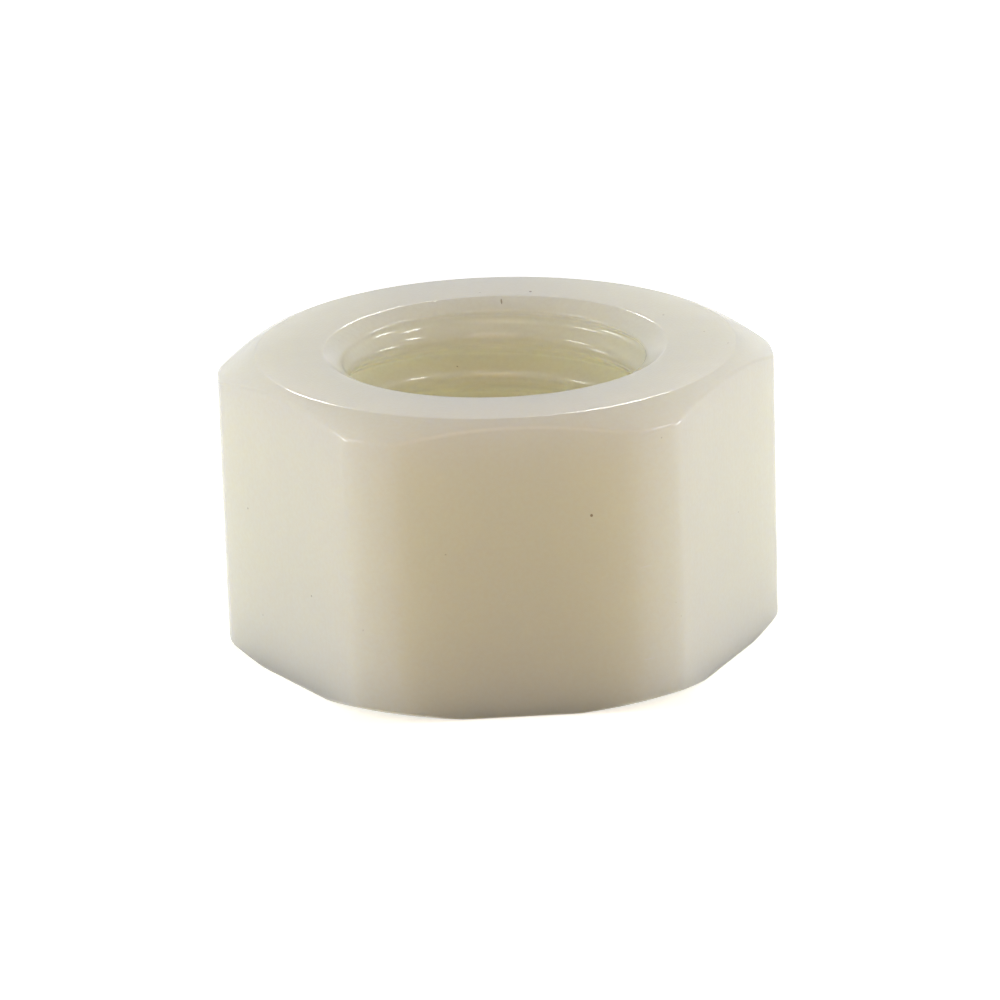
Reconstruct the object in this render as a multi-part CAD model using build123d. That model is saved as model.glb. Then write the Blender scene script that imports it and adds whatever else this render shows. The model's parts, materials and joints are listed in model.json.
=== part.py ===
from build123d import *
from build123d.topology import SkipClean
import math
import os

# Plastic hex nut for an M20 coarse thread, one solid piece cut from hexagonal bar.
# Sizes are in millimetres. The origin is the centre of the bearing face, and +Z runs
# up the thread axis. Two flats face +Y and -Y, and two corners point along +X and -X.

# Body
ACROSS_FLATS = 30.0
NUT_HEIGHT = 18.0
SIDES = 6
CORNER_TRIM = 0.82             # what turning takes off each corner, along its radius

# Turned chamfers, each measured inwards from the trimmed corners
TOP_CHAMFER_WIDTH = 2.25
BEARING_CHAMFER_WIDTH = 1.35
CHAMFER_ANGLE = 25.0           # degrees, from the plane of the end face
EDGE_ROUNDING = 0.3            # on the turned edges and the two mouths of the hole

# Thread, a right-hand 60-degree form
THREAD_DIAMETER = 20.0         # nominal, at the root of the groove
THREAD_PITCH = 2.5
THREAD_ANGLE = 60.0            # degrees, between the two flanks
ROOT_FLAT_SHARE = 1 / 8        # of the pitch
CREST_FLAT_SHARE = 1 / 4       # of the pitch
THREAD_PHASE = 1.4             # height of a groove's middle at the corner on +X

# Countersinks, one at each end of the thread
MOUTH_CLEARANCE = 0.2          # that each mouth stands outside the thread, all round
COUNTERSINK_ANGLE = 120.0      # degrees, across the cone

# Cutting
OVERCUT = 1.0                  # that a cutting shape runs past what it cuts
GROOVE_OVERLAP = 0.25          # that the groove's cutter reaches inside the crests
CUTS_PER_TURN = 4              # parts of a turn in which the threaded hole is cut


def half_angle_tan(full_angle):
    return math.tan(math.radians(full_angle / 2))


corner_radius = ACROSS_FLATS / 2 / math.cos(math.pi / SIDES) - CORNER_TRIM
groove_slope = half_angle_tan(THREAD_ANGLE)
thread_depth = (1 - ROOT_FLAT_SHARE - CREST_FLAT_SHARE) * THREAD_PITCH / 2 / groove_slope
root_radius = THREAD_DIAMETER / 2
crest_radius = root_radius - thread_depth
mouth_radius = root_radius + MOUTH_CLEARANCE
countersink_slope = half_angle_tan(COUNTERSINK_ANGLE)
countersink_depth = (mouth_radius - crest_radius) / countersink_slope


def turned_blank():
    """The round outline that the lathe leaves: a chamfered disc with softened edges."""
    slope = math.tan(math.radians(CHAMFER_ANGLE))
    top_radius = corner_radius - TOP_CHAMFER_WIDTH
    bearing_radius = corner_radius - BEARING_CHAMFER_WIDTH
    bearing_shoulder = (corner_radius, BEARING_CHAMFER_WIDTH * slope)
    top_shoulder = (corner_radius, NUT_HEIGHT - TOP_CHAMFER_WIDTH * slope)
    outline = Polyline(
        (0, 0), (bearing_radius, 0), bearing_shoulder, top_shoulder,
        (top_radius, NUT_HEIGHT), (0, NUT_HEIGHT), close=True)
    section = make_face(outline)
    turned_edges = section.vertices().filter_by(lambda corner: corner.X > 0)
    section = fillet(turned_edges, EDGE_ROUNDING)
    return revolve(Plane.XZ * section, Axis.Z)


def hexagonal_bar():
    hexagon = RegularPolygon(ACROSS_FLATS / 2, SIDES, major_radius=False)
    return extrude(hexagon, NUT_HEIGHT)


def countersinks():
    """Two cones that open the hole at the end faces, each run a little past its face."""
    depth = countersink_depth + OVERCUT
    wide = mouth_radius + OVERCUT * countersink_slope
    cone = Cone(crest_radius, wide, depth, align=(Align.CENTER, Align.CENTER, Align.MIN))
    upper = Pos(0, 0, NUT_HEIGHT - countersink_depth) * cone
    lower = Pos(0, 0, countersink_depth) * Rot(180, 0, 0) * cone
    return [upper, lower]


def soften_mouths(nut):
    """Rounds the edge where each countersink meets its end face."""
    mouths = nut.edges().filter_by(GeomType.CIRCLE).filter_by(
        lambda edge: abs(edge.radius - mouth_radius) < 1e-6)
    return fillet(mouths, EDGE_ROUNDING)


def groove_segment():
    """The groove's cutter over one part of a turn, starting on +X at height zero."""
    path = Helix(THREAD_PITCH, THREAD_PITCH / CUTS_PER_TURN, root_radius)
    inner_radius = crest_radius - GROOVE_OVERLAP
    root_half = ROOT_FLAT_SHARE * THREAD_PITCH / 2
    inner_half = root_half + (root_radius - inner_radius) * groove_slope
    outline = Polyline(
        (root_radius, -root_half), (root_radius, root_half),
        (inner_radius, inner_half), (inner_radius, -inner_half), close=True)
    return sweep(Plane.XZ * make_face(outline), path, is_frenet=True)


def threaded_hole_sector():
    """The space of the threaded hole over one part of a turn, long enough for them all."""
    spare = 2 * THREAD_PITCH
    core = Pos(0, 0, -spare) * Cylinder(
        crest_radius, NUT_HEIGHT + 2 * spare, arc_size=360 / CUTS_PER_TURN,
        align=(Align.NONE, Align.NONE, Align.MIN))
    groove = groove_segment()
    lowest = THREAD_PHASE - spare
    turns = math.ceil((NUT_HEIGHT + spare) / THREAD_PITCH) + 1
    return core.fuse(*[Pos(0, 0, lowest + turn * THREAD_PITCH) * groove for turn in range(turns)])


def hex_nut():
    nut = turned_blank() & hexagonal_bar()
    for cone in countersinks():
        nut -= cone
    nut = soften_mouths(nut)
    # Each sector stands higher than the last by its share of the pitch. The faces are kept
    # as cut, so a crest is a row of short cylindrical faces and never a whole turn of one.
    with SkipClean():
        sector = threaded_hole_sector()
        for number in range(CUTS_PER_TURN):
            share = number / CUTS_PER_TURN
            nut = nut.cut(Pos(0, 0, share * THREAD_PITCH) * Rot(0, 0, share * 360) * sector)
    return nut


os.makedirs("parts", exist_ok=True)
export_step(hex_nut(), "parts/hex_nut.step")
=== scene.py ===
import json
import math

import bpy
from mathutils import Matrix, Vector


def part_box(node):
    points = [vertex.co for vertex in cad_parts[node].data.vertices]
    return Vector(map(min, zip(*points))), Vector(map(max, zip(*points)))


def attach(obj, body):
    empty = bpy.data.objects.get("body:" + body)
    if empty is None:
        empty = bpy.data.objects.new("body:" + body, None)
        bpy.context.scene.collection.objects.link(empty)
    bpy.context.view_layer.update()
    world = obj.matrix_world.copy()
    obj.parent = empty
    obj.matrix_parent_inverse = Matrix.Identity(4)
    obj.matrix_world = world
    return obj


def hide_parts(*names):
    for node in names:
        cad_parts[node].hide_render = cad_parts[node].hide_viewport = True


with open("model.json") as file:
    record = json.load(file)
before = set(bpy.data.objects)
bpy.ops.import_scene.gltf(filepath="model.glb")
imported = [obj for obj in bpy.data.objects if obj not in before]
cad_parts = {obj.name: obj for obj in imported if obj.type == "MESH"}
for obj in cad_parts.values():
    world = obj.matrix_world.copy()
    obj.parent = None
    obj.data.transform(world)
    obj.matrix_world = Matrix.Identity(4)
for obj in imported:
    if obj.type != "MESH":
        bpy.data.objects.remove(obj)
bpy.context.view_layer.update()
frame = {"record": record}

# Natural nylon hex nut, M20 coarse thread, standing on its bearing face. Metres throughout.
MM = 0.001

# ---------------------------------------------------------------------------
# Sizes: the frame gives the outer box and the thread's crests, and the rest are
# the nut's own turned and tapped sizes.

NODE = "hex_nut"
low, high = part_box(NODE)
mounts = {mount["name"]: mount for mount in frame["record"]["mounts"]}

HEIGHT = high.z - low.z
FLAT_DISTANCE = (high.y - low.y) / 2
CORNER_RADIUS = (high.x - low.x) / 2
SIDES = 6

TOP_CHAMFER_WIDTH = 2.25 * MM
BEARING_CHAMFER_WIDTH = 1.35 * MM
CHAMFER_ANGLE = math.radians(25)
EDGE_ROUNDING = 0.3 * MM
CORNER_SOFTENING = 0.3 * MM

CREST_RADIUS = mounts["thread"]["dims"]["r_mm"] * MM
PITCH = 2.5 * MM
FLANK_TILT = math.radians(30)      # of a flank from the plane across the thread
ROOT_SHARE = 1 / 8                 # flat at the bottom of the groove, of the pitch
CREST_SHARE = 1 / 4                # flat on the ridge, of the pitch
THREAD_PHASE = 1.4 * MM            # height of a groove's middle on +X
CREST_SOFTENING = 1.0 * MM
ROOT_SOFTENING = 1.2 * MM

MOUTH_CLEARANCE = 0.2 * MM
COUNTERSINK_TILT = math.radians(30)   # of the cone from the plane of the end face
MOUTH_SOFTENING = 0.7 * MM         # where the cone runs into the thread
MOUTH_SOFTENING_RISE = 2.0         # how fast that softening sets in below the end face
RUN_OUT = 1.6 * MM                 # depth at which the first groove is full
RUN_OUT_SOFTENING = 0.5            # of the run-out's end, as a share of the groove's depth

thread_depth = (1 - ROOT_SHARE - CREST_SHARE) * PITCH / 2 / math.tan(FLANK_TILT)
root_radius = CREST_RADIUS + thread_depth
mouth_radius = root_radius + MOUTH_CLEARANCE

# ---------------------------------------------------------------------------
# Node trees as Python expressions.


class Value:
    """The output of a node, which Python arithmetic turns into more nodes."""

    def __init__(self, graph, socket):
        self.graph = graph
        self.socket = socket

    def __add__(self, other):
        return self.graph.math("ADD", self, other)

    def __radd__(self, other):
        return self.graph.math("ADD", other, self)

    def __sub__(self, other):
        return self.graph.math("SUBTRACT", self, other)

    def __rsub__(self, other):
        return self.graph.math("SUBTRACT", other, self)

    def __mul__(self, other):
        return self.graph.math("MULTIPLY", self, other)

    def __rmul__(self, other):
        return self.graph.math("MULTIPLY", other, self)

    def __truediv__(self, other):
        return self.graph.math("DIVIDE", self, other)

    def __rtruediv__(self, other):
        return self.graph.math("DIVIDE", other, self)

    def __abs__(self):
        return self.graph.math("ABSOLUTE", self)


class Graph:
    """Adds nodes to one tree. Every input may be a number, a vector, a colour or a Value."""

    def __init__(self, tree):
        self.tree = tree

    def add(self, kind, settings=None, inputs=None):
        node = self.tree.nodes.new(kind)
        for name, setting in (settings or {}).items():
            setattr(node, name, setting)
        for key, value in (inputs or {}).items():
            self.feed(node.inputs[key], value)
        return node

    def feed(self, socket, value):
        if isinstance(value, Value):
            self.tree.links.new(value.socket, socket)
        else:
            socket.default_value = value

    def get(self, kind, settings=None, inputs=None, output=0):
        node = self.add(kind, settings, inputs)
        return Value(self, node.outputs[output])

    def math(self, operation, *operands):
        inputs = dict(enumerate(operands))
        return self.get("ShaderNodeMath", {"operation": operation}, inputs)

    def vector_math(self, operation, *operands, output=0):
        inputs = dict(enumerate(operands))
        return self.get("ShaderNodeVectorMath", {"operation": operation}, inputs, output)

    def split(self, vector):
        node = self.add("ShaderNodeSeparateXYZ", inputs={0: vector})
        return [Value(self, socket) for socket in node.outputs]

    def combine(self, x, y, z):
        return self.get("ShaderNodeCombineXYZ", inputs={0: x, 1: y, 2: z})

    def seen_directly(self):
        """1 for what the eye, a reflection or clear glass sees, and 0 for bounced light."""
        path = self.add("ShaderNodeLightPath")
        eye, gloss, glass = [
            Value(self, path.outputs[name])
            for name in ("Is Camera Ray", "Is Glossy Ray", "Is Transmission Ray")]
        return self.math("MAXIMUM", self.math("MAXIMUM", eye, gloss), glass)


# ---------------------------------------------------------------------------
# The nut's mesh. Every stretch of its surface is a grid: one way it runs round the
# thread axis, and the other way along the nut's section.

COLUMNS = 240                  # round the nut
COLUMN_BIAS = 0.55             # how much closer the columns stand at the corners
ROWS_PER_PITCH = 32
WELD = 0.002 * MM

SIZE_INPUTS = {
    "Height": HEIGHT,
    "Flat Distance": FLAT_DISTANCE,
    "Corner Radius": CORNER_RADIUS,
    "Top Chamfer Width": TOP_CHAMFER_WIDTH,
    "Bearing Chamfer Width": BEARING_CHAMFER_WIDTH,
    "Edge Rounding": EDGE_ROUNDING,
    "Corner Softening": CORNER_SOFTENING,
    "Crest Radius": CREST_RADIUS,
    "Root Radius": root_radius,
    "Pitch": PITCH,
    "Thread Phase": THREAD_PHASE,
    "Mouth Radius": mouth_radius,
}


class NutTree(Graph):
    """The geometry tree that grows the nut from its sizes."""

    def __init__(self, material):
        super().__init__(bpy.data.node_groups.new("nut_surface", "GeometryNodeTree"))
        self.material = material
        self.identifiers = {}
        for name, size in SIZE_INPUTS.items():
            socket = self.tree.interface.new_socket(
                name, in_out="INPUT", socket_type="NodeSocketFloat")
            socket.default_value = size
            self.identifiers[name] = socket.identifier
        self.tree.interface.new_socket(
            "Geometry", in_out="OUTPUT", socket_type="NodeSocketGeometry")
        group_input = self.add("NodeGroupInput")
        self.size = {name: Value(self, group_input.outputs[name]) for name in SIZE_INPUTS}
        self.place_on_grid()
        self.outline_round_axis()
        self.section_corners()

    def place_on_grid(self):
        """turn runs 0 to 1 round the axis, and along runs 0 to 1 down a stretch."""
        across, down, _ = self.split(self.get("GeometryNodeInputPosition"))
        even_turn = across + 0.5
        self.along = down + 0.5
        corner_wave = self.math("SINE", even_turn * (2 * math.pi * SIDES))
        self.turn = even_turn - corner_wave * (COLUMN_BIAS / (2 * math.pi * SIDES))
        self.angle = self.turn * (2 * math.pi)

    def outline_round_axis(self):
        """The wall's distance from the axis: flats, with the corners turned down."""
        side = 2 * math.pi / SIDES
        from_flat = self.math("FLOORED_MODULO", self.angle, side) - side / 2
        flat = self.size["Flat Distance"] / self.math("COSINE", from_flat)
        self.wall = self.math(
            "SMOOTH_MIN", flat, self.size["Corner Radius"], self.size["Corner Softening"])

    def section_corners(self):
        """Centres of the rounded edges, as (distance from the axis, height) pairs."""
        size = self.size
        rounding = size["Edge Rounding"]
        slope = math.tan(CHAMFER_ANGLE)
        half_slope = math.tan(CHAMFER_ANGLE / 2)
        reach = self.wall - rounding
        floor = rounding
        ceiling = size["Height"] - rounding

        def face_edge(chamfer_width):
            edge = size["Corner Radius"] - chamfer_width - rounding * half_slope
            return self.math("MINIMUM", edge, reach)

        foot = face_edge(size["Bearing Chamfer Width"])
        crown = face_edge(size["Top Chamfer Width"])
        lip = size["Mouth Radius"] + rounding * math.tan(COUNTERSINK_TILT / 2)
        self.lower_lip = (lip, floor)
        self.foot = (foot, floor)
        self.lower_shoulder = (reach, floor + (reach - foot) * slope)
        self.upper_shoulder = (reach, ceiling - (reach - crown) * slope)
        self.crown = (crown, ceiling)
        self.upper_lip = (lip, ceiling)

    def stretch(self, rows, radius, height):
        """A grid bent to the given distance from the axis and height."""
        grid = self.get("GeometryNodeMeshGrid", inputs={
            "Size X": 1.0, "Size Y": 1.0, "Vertices X": COLUMNS + 1, "Vertices Y": rows + 1})
        x = radius * self.math("COSINE", self.angle)
        y = radius * self.math("SINE", self.angle)
        return self.get("GeometryNodeSetPosition", inputs={
            "Geometry": grid, "Position": self.combine(x, y, height)})

    def edge(self, centre, start_degrees, end_degrees, rows):
        """A rounded edge, from one facing to another. 0 faces out and 90 faces up."""
        start = math.radians(start_degrees)
        facing = self.along * (math.radians(end_degrees) - start) + start
        rounding = self.size["Edge Rounding"]
        radius = centre[0] + rounding * self.math("COSINE", facing)
        height = centre[1] + rounding * self.math("SINE", facing)
        return self.stretch(rows, radius, height)

    def face(self, first, last, degrees, rows):
        """A straight stretch between two rounded edges, with rows closer at its ends."""
        eased = 0.5 - self.math("COSINE", self.along * math.pi) * 0.5
        facing = math.radians(degrees)
        out = self.size["Edge Rounding"] * math.cos(facing)
        up = self.size["Edge Rounding"] * math.sin(facing)
        radius = first[0] + (last[0] - first[0]) * eased + out
        height = first[1] + (last[1] - first[1]) * eased + up
        return self.stretch(rows, radius, height)

    def outside(self):
        """From the lower mouth out, up the wall and in to the upper mouth."""
        chamfer = math.degrees(CHAMFER_ANGLE)
        mouth = math.degrees(COUNTERSINK_TILT)
        return [
            self.edge(self.lower_lip, -90 - mouth, -90, 5),
            self.face(self.lower_lip, self.foot, -90, 8),
            self.edge(self.foot, -90, chamfer - 90, 4),
            self.face(self.foot, self.lower_shoulder, chamfer - 90, 4),
            self.edge(self.lower_shoulder, chamfer - 90, 0, 7),
            self.face(self.lower_shoulder, self.upper_shoulder, 0, 16),
            self.edge(self.upper_shoulder, 0, 90 - chamfer, 7),
            self.face(self.upper_shoulder, self.crown, 90 - chamfer, 5),
            self.edge(self.crown, 90 - chamfer, 90, 4),
            self.face(self.crown, self.upper_lip, 90, 9),
            self.edge(self.upper_lip, 90, 90 + mouth, 5),
        ]

    def hole(self):
        """The tapped hole, from the upper mouth down. Its rows climb with the thread."""
        size = self.size
        pitch = size["Pitch"]
        tuck = size["Edge Rounding"] * (1 - math.cos(COUNTERSINK_TILT))
        lowest = tuck
        highest = size["Height"] - tuck
        turns_up = math.ceil((HEIGHT - THREAD_PHASE) / PITCH)
        turns_down = turns_up + 2
        climb = pitch * self.turn
        start = size["Thread Phase"] + pitch * turns_up + climb
        free = start - self.along * (pitch * turns_down)
        height = self.math("MINIMUM", self.math("MAXIMUM", free, lowest), highest)

        grooves_up = (height - size["Thread Phase"] - climb) / pitch
        from_groove = abs(self.math("FRACT", grooves_up + 0.5) - 0.5) * pitch
        flank = size["Root Radius"] - (from_groove - pitch * (ROOT_SHARE / 2)) / math.tan(FLANK_TILT)
        ridge = self.math("SMOOTH_MAX", flank, size["Crest Radius"], CREST_SOFTENING)
        thread = self.math("SMOOTH_MIN", ridge, size["Root Radius"], ROOT_SOFTENING)
        from_end = self.math("MINIMUM", height, size["Height"] - height)
        share = self.math("SMOOTH_MIN", from_end / RUN_OUT, 1.0, RUN_OUT_SOFTENING)
        thread = size["Crest Radius"] + (thread - size["Crest Radius"]) * share
        countersink = size["Mouth Radius"] - from_end / math.tan(COUNTERSINK_TILT)
        softening = self.math(
            "MINIMUM", (from_end - tuck) * MOUTH_SOFTENING_RISE, MOUTH_SOFTENING)
        radius = self.math("SMOOTH_MAX", thread, countersink, softening)
        return self.stretch(turns_down * ROWS_PER_PITCH, radius, height)

    def finish(self):
        """Joins the stretches into one closed skin with the nylon on it."""
        joined = self.add("GeometryNodeJoinGeometry")
        for piece in self.outside() + [self.hole()]:
            self.tree.links.new(piece.socket, joined.inputs[0])
        welded = self.get("GeometryNodeMergeByDistance", inputs={
            "Geometry": Value(self, joined.outputs[0]), "Distance": WELD})
        smooth = self.get("GeometryNodeSetShadeSmooth", inputs={"Geometry": welded})
        realized = self.get("GeometryNodeRealizeInstances", inputs={"Geometry": smooth})
        coated = self.get("GeometryNodeSetMaterial", inputs={
            "Geometry": realized, "Material": self.material})
        self.add("NodeGroupOutput", inputs={"Geometry": coated})


def build_nut(material):
    tree = NutTree(material)
    tree.finish()
    seed_mesh = bpy.data.meshes.new("nut_seed")
    grower = bpy.data.objects.new("nut_grower", seed_mesh)
    bpy.context.scene.collection.objects.link(grower)
    modifier = grower.modifiers.new("nut_surface", "NODES")
    modifier.node_group = tree.tree
    for name, size in SIZE_INPUTS.items():
        modifier[tree.identifiers[name]] = size
    bpy.context.view_layer.update()
    grown = grower.evaluated_get(bpy.context.evaluated_depsgraph_get())
    mesh = bpy.data.meshes.new_from_object(grown)
    mesh.name = "nylon_nut"
    bpy.data.objects.remove(grower)
    nut = bpy.data.objects.new("nylon_nut", mesh)
    bpy.context.scene.collection.objects.link(nut)
    return nut


# ---------------------------------------------------------------------------
# Materials

IVORY_LIGHT = (0.92, 0.935, 0.80, 1)
IVORY_DEEP = (0.91, 0.91, 0.77, 1)
IVORY_TAN = (0.88, 0.83, 0.62, 1)
# Painted glow: the hole's colour stands in for light shining through the walls into it.
PAINTED_HOLE_GLOW = (0.985, 0.975, 0.78, 1)
# Pale colour of the scuffs and of the painted highlights.
SCUFF_AND_HIGHLIGHT_WHITE = (0.95, 0.95, 0.90, 1)
SPECK_BROWN = (0.20, 0.14, 0.08, 1)


class Finish(Graph):
    """A material's shader tree around one Principled BSDF."""

    def __init__(self, name, uniform):
        self.material = bpy.data.materials.new(name)
        self.material.use_nodes = True
        super().__init__(self.material.node_tree)
        self.shader = self.tree.nodes["Principled BSDF"]
        for key, value in uniform.items():
            self.shader.inputs[key].default_value = value
        self.place = self.get("ShaderNodeTexCoord", output="Object")

    def noise(self, scale, detail=2.0, vector=None):
        return self.get("ShaderNodeTexNoise", inputs={
            "Vector": vector or self.place, "Scale": scale / MM, "Detail": detail})

    def mix_colour(self, factor, first, second):
        node = self.add("ShaderNodeMix", {"data_type": "RGBA"}, {0: factor, 6: first, 7: second})
        return Value(self, node.outputs[2])

    def spot(self, centre, reach):
        """1 at a place on the nut and 0 past its reach along x, y and z."""
        offset = self.vector_math("SUBTRACT", self.place, [part * MM for part in centre])
        scaled = self.vector_math("DIVIDE", offset, [part * MM for part in reach])
        return self.ramp(self.vector_math("LENGTH", scaled, output=1), 1.0, 0.6)

    def ramp(self, value, low, high):
        """0 below low, 1 above high, and a smooth step between."""
        return self.get("ShaderNodeMapRange", {"interpolation_type": "SMOOTHSTEP"},
                        {"Value": value, "From Min": low, "From Max": high})


DARK_SPECKS = [
    # where it lies on the nut, and how far it reaches along x, y and z, in millimetres
    ((1.05, 9.75, 17.72), (0.06, 0.28, 0.28)),      # a nick in the countersink
    ((2.90, 10.70, 18.0), (0.10, 0.14, 0.20)),
    ((4.32, -15.0, 12.15), (0.10, 0.20, 0.11)),
    ((12.6, 8.1, 11.8), (0.12, 0.12, 0.10)),
    ((-6.1, 15.0, 5.2), (0.11, 0.20, 0.09)),
]
# Pale marks: scuffs, and the first two, thin streaks on the right-front corner, are painted
# highlights laid over faint machining streaks.
SCUFFS_AND_PAINTED_HIGHLIGHTS = [
    ((7.37, -14.74, 8.80), (0.45, 0.45, 0.05)),
    ((7.48, -14.67, 3.13), (0.50, 0.50, 0.05)),
    ((-10.6, -10.9, 11.3), (0.60, 0.60, 0.05)),
    ((3.2, 15.0, 9.6), (0.70, 0.50, 0.05)),
    ((-13.8, 6.0, 12.9), (0.50, 0.60, 0.05)),
]


# Relief, in millimetres where a pattern is at 1. The facing rings swing between 1 and -1.
RING_RELIEF = 0.0006
DRAW_LINE_RELIEF = 0.004
GRAIN_RELIEF = 0.003
WAVE_RELIEF = 0.06
PALE_MARK_RELIEF = 0.004
GRIT_RELIEF = 0.01
RING_SPACING = 0.22 * MM
RING_WANDER = 0.10 * MM            # that a ring strays from its circle, at most
DRAW_LINE_STRETCH = 0.04           # how slowly the lines change along the bar


def nylon():
    """Natural polyamide: milky and see-through in thin places, gloss on turned faces."""
    finish = Finish("natural_nylon", {
        "IOR": 1.53,
        "Subsurface Weight": 1.0,
        "Subsurface Radius": (1.0, 0.92, 0.65),
        "Subsurface Scale": 17 * MM,
        "Subsurface Anisotropy": 0.0,
    })
    x, y, z = finish.split(finish.place)
    from_axis = finish.math("SQRT", x * x + y * y)

    # Which tool left the surface: turning on the end faces and cones, tapping in the hole,
    # and drawing of the bar on the flats.
    _, _, facing_up = finish.split(finish.get("ShaderNodeNewGeometry", output="Normal"))
    inside = finish.ramp(from_axis, mouth_radius + 0.1 * MM, mouth_radius - 0.1 * MM)
    turned = finish.ramp(abs(facing_up), 0.3, 0.5) * (1 - inside)
    flats = (1 - turned) * (1 - inside)

    # Colour: milky clouds, a brighter, creamier hole that is painted glow for light shining through
    # the walls, a fine mottle, then grit, specks, scuffs and two painted highlights.
    cloud = finish.noise(0.10, detail=3.0)
    mottle = finish.noise(4.0, detail=2.0)
    colour = finish.mix_colour(cloud, IVORY_LIGHT, IVORY_DEEP)
    # Painted glow: the hole is coloured brighter and creamier to stand in for the light that shines
    # through the thin walls into it.
    colour = finish.mix_colour(inside, colour, PAINTED_HOLE_GLOW)
    colour = finish.mix_colour(finish.ramp(mottle, 0.3, 0.7) * 0.22, colour, IVORY_TAN)
    grains = finish.get("ShaderNodeTexVoronoi", {"feature": "F1"}, {
        "Vector": finish.place, "Scale": 1.1 / MM, "Randomness": 1.0})
    grit = finish.ramp(grains, 0.09, 0.05) * finish.ramp(finish.noise(0.7), 0.60, 0.66)
    colour = finish.mix_colour(grit * 0.45, colour, SPECK_BROWN)
    for centre, reach in DARK_SPECKS:
        colour = finish.mix_colour(finish.spot(centre, reach) * 0.75, colour, SPECK_BROWN)
    # Painted highlights and scuffs: pale marks mixed into the colour.
    scuffs_and_highlights = 0.0
    for centre, reach in SCUFFS_AND_PAINTED_HIGHLIGHTS:
        scuffs_and_highlights = scuffs_and_highlights + finish.spot(centre, reach)
    pale = finish.math("MINIMUM", scuffs_and_highlights, 1.0)
    colour = finish.mix_colour(pale * 0.5, colour, SCUFF_AND_HIGHLIGHT_WHITE)
    finish.feed(finish.shader.inputs["Base Color"], colour)

    # Gloss: shiny where the tool turned, softer on the drawn flats, dull on the scuffs and on the
    # painted highlights.
    patches = finish.noise(0.35, detail=3.0)
    roughness = 0.11 + patches * 0.04 + flats * 0.04 + mottle * 0.02 + pale * 0.05
    finish.feed(finish.shader.inputs["Roughness"], roughness)

    # Relief: rings from facing, faint draw lines along the bar, and a fine grain.
    wander = finish.noise(0.4) * RING_WANDER
    rings = finish.math("SINE", (from_axis + wander) * (2 * math.pi / RING_SPACING))
    draw_lines = finish.get("ShaderNodeTexNoise", inputs={
        "Vector": finish.combine(x, y, z * DRAW_LINE_STRETCH), "Scale": 3.0 / MM, "Detail": 2.0})
    grain = finish.noise(5.0, detail=3.0)
    waves = finish.noise(0.22, detail=1.0)
    height = (rings * turned * RING_RELIEF + draw_lines * flats * DRAW_LINE_RELIEF
              + grain * GRAIN_RELIEF + waves * WAVE_RELIEF
              - pale * PALE_MARK_RELIEF - grit * GRIT_RELIEF) * MM
    bump = finish.get("ShaderNodeBump", inputs={
        "Strength": 1.0, "Distance": 1.0, "Height": height})
    finish.feed(finish.shader.inputs["Normal"], bump)
    return finish.material


def studio_white():
    """A pale floor that the eye and reflections see as white, with the nut's soft shadow."""
    finish = Finish("studio_white", {"Roughness": 0.9, "Specular IOR Level": 0.1})
    seen = finish.seen_directly()
    finish.feed(finish.shader.inputs["Base Color"],
                finish.mix_colour(seen, (0.94, 0.90, 0.77, 1), (0.95, 0.95, 0.95, 1)))
    glow = finish.mix_colour(seen, (0, 0, 0, 1), (0.60, 0.60, 0.60, 1))
    finish.feed(finish.shader.inputs["Emission Color"], glow)
    finish.shader.inputs["Emission Strength"].default_value = 1.0
    return finish.material


# ---------------------------------------------------------------------------
# Studio

FLOOR_SIZE = 4.0
WORLD_FILL = 0.03                      # share of white that the air gives as bounced light


def add_floor():
    bpy.ops.mesh.primitive_plane_add(size=FLOOR_SIZE)
    floor = bpy.context.active_object
    floor.name = "studio_floor"
    floor.data.materials.append(studio_white())


def add_softbox(name, place, size, power, colour):
    """A rectangular lamp that faces the middle of the nut."""
    data = bpy.data.lights.new(name, "AREA")
    data.shape = "RECTANGLE"
    data.size, data.size_y = size
    data.energy = power
    data.color = colour
    lamp = bpy.data.objects.new(name, data)
    bpy.context.scene.collection.objects.link(lamp)
    centre = Vector((0, 0, HEIGHT / 2))
    lamp.location = place
    lamp.rotation_euler = (centre - lamp.location).to_track_quat("-Z", "Y").to_euler()


def add_world(fill):
    """White to the eye, and a dim even fill on the nut."""
    world = bpy.data.worlds.new("studio_air")
    world.use_nodes = True
    graph = Graph(world.node_tree)
    seen = graph.seen_directly()
    background = world.node_tree.nodes["Background"]
    background.inputs["Color"].default_value = (1, 1, 1, 1)
    graph.feed(background.inputs["Strength"], seen * (1 - fill) + fill)
    bpy.context.scene.world = world


CAMERA_DISTANCE = 360 * MM
CAMERA_ELEVATION = math.radians(18.58)
CAMERA_TURN = math.radians(3.44)       # to the left of the front flat's normal
CAMERA_ROLL = math.radians(1.8)
CAMERA_DROP = 0.69 * MM                # that the aim lies below the middle of the nut
FRAME_WIDTH = 59.78 * MM               # seen across the view at the nut


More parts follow.
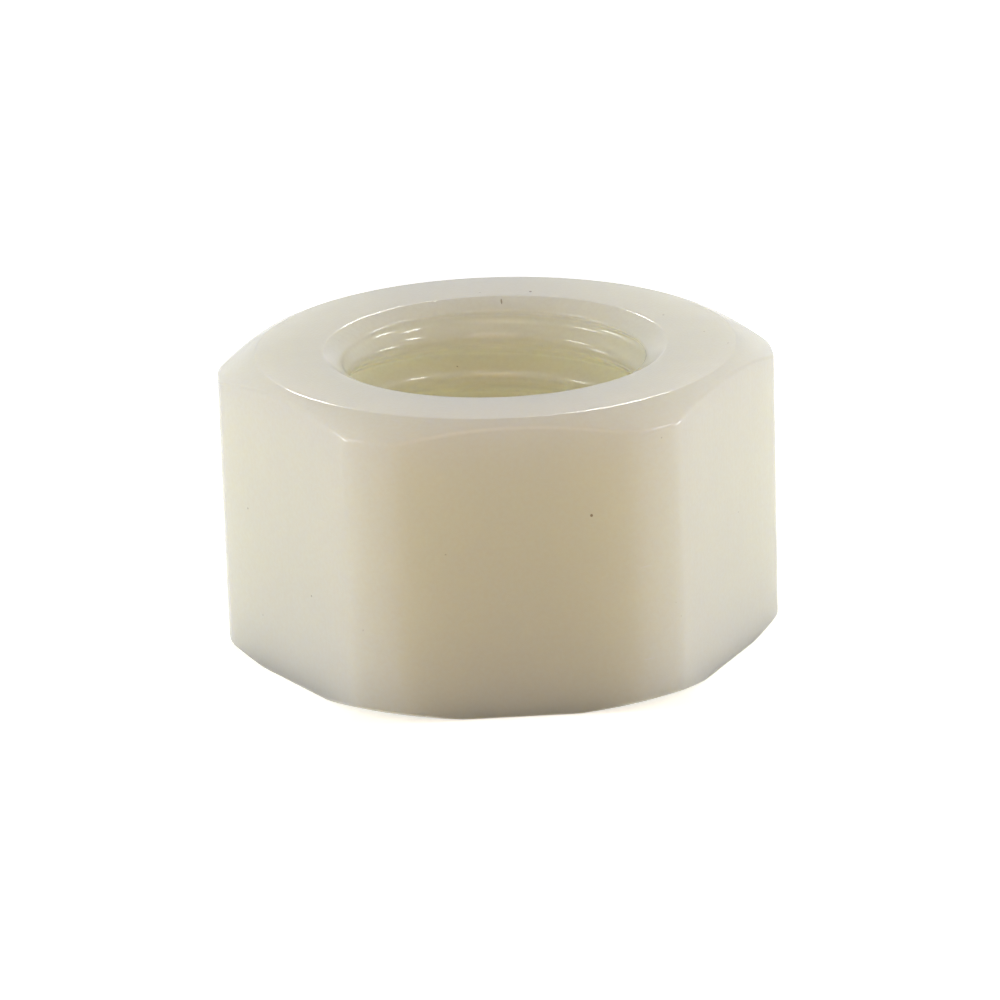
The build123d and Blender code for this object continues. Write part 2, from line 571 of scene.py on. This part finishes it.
def add_camera():
    data = bpy.data.cameras.new("camera")
    camera = bpy.data.objects.new("camera", data)
    bpy.context.scene.collection.objects.link(camera)
    data.lens = data.sensor_width * CAMERA_DISTANCE / FRAME_WIDTH
    data.clip_start = 0.01
    aim = Vector((0, 0, HEIGHT / 2 - CAMERA_DROP))
    back = Vector((
        -math.sin(CAMERA_TURN) * math.cos(CAMERA_ELEVATION),
        -math.cos(CAMERA_TURN) * math.cos(CAMERA_ELEVATION),
        math.sin(CAMERA_ELEVATION)))
    look = (-back).to_track_quat("-Z", "Y").to_matrix()
    roll = Matrix.Rotation(-CAMERA_ROLL, 3, "Z")
    camera.matrix_world = Matrix.Translation(aim + back * CAMERA_DISTANCE) @ (look @ roll).to_4x4()
    bpy.context.scene.camera = camera


def add_lights():
    """Each lamp is given by the way it lies from the nut, in degrees from +X and up."""
    for name, round_from_x, up, distance, size, power, colour in LAMPS:
        way = math.radians(round_from_x)
        rise = math.radians(up)
        place = Vector((
            math.cos(way) * math.cos(rise), math.sin(way) * math.cos(rise), math.sin(rise)))
        add_softbox(name, place * distance, size, power, colour)


WHITE = (1, 1, 1)
CREAM = (1, 0.92, 0.74)
SKYLIGHT = (0.96, 1, 0.98)
WARM = (1, 0.53, 0.18)
LAMPS = [
    # name, round from +X, up, metres away, width and height, watts, colour
    ("left_softbox", 177, 9, 0.34, (0.10, 0.10), 0.49, SKYLIGHT),
    ("right_softbox", 3, 9, 0.34, (0.10, 0.10), 0.48, SKYLIGHT),
    ("left_glint", 188, 46, 0.40, (0.10, 0.02), 0.19, WHITE),
    ("right_glint", -8, 46, 0.40, (0.10, 0.02), 0.19, WHITE),
    ("top_softbox", 270, 61, 0.40, (0.20, 0.20), 0.16, CREAM),
    ("front_card", 270, 34, 0.40, (0.25, 0.25), 0.24, WARM),
    ("back_left_lamp", 99, 33, 0.40, (0.03, 0.03), 0.13, WHITE),
    ("back_right_lamp", 81, 33, 0.40, (0.03, 0.03), 0.13, WHITE),
]


# ---------------------------------------------------------------------------

add_camera()
add_world(WORLD_FILL)
add_floor()
add_lights()

nut = build_nut(nylon())
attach(nut, "root")
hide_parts(NODE)

scene = bpy.context.scene
scene.view_settings.view_transform = "Standard"

print("TRIANGLES", sum(len(face.vertices) - 2 for face in nut.data.polygons))
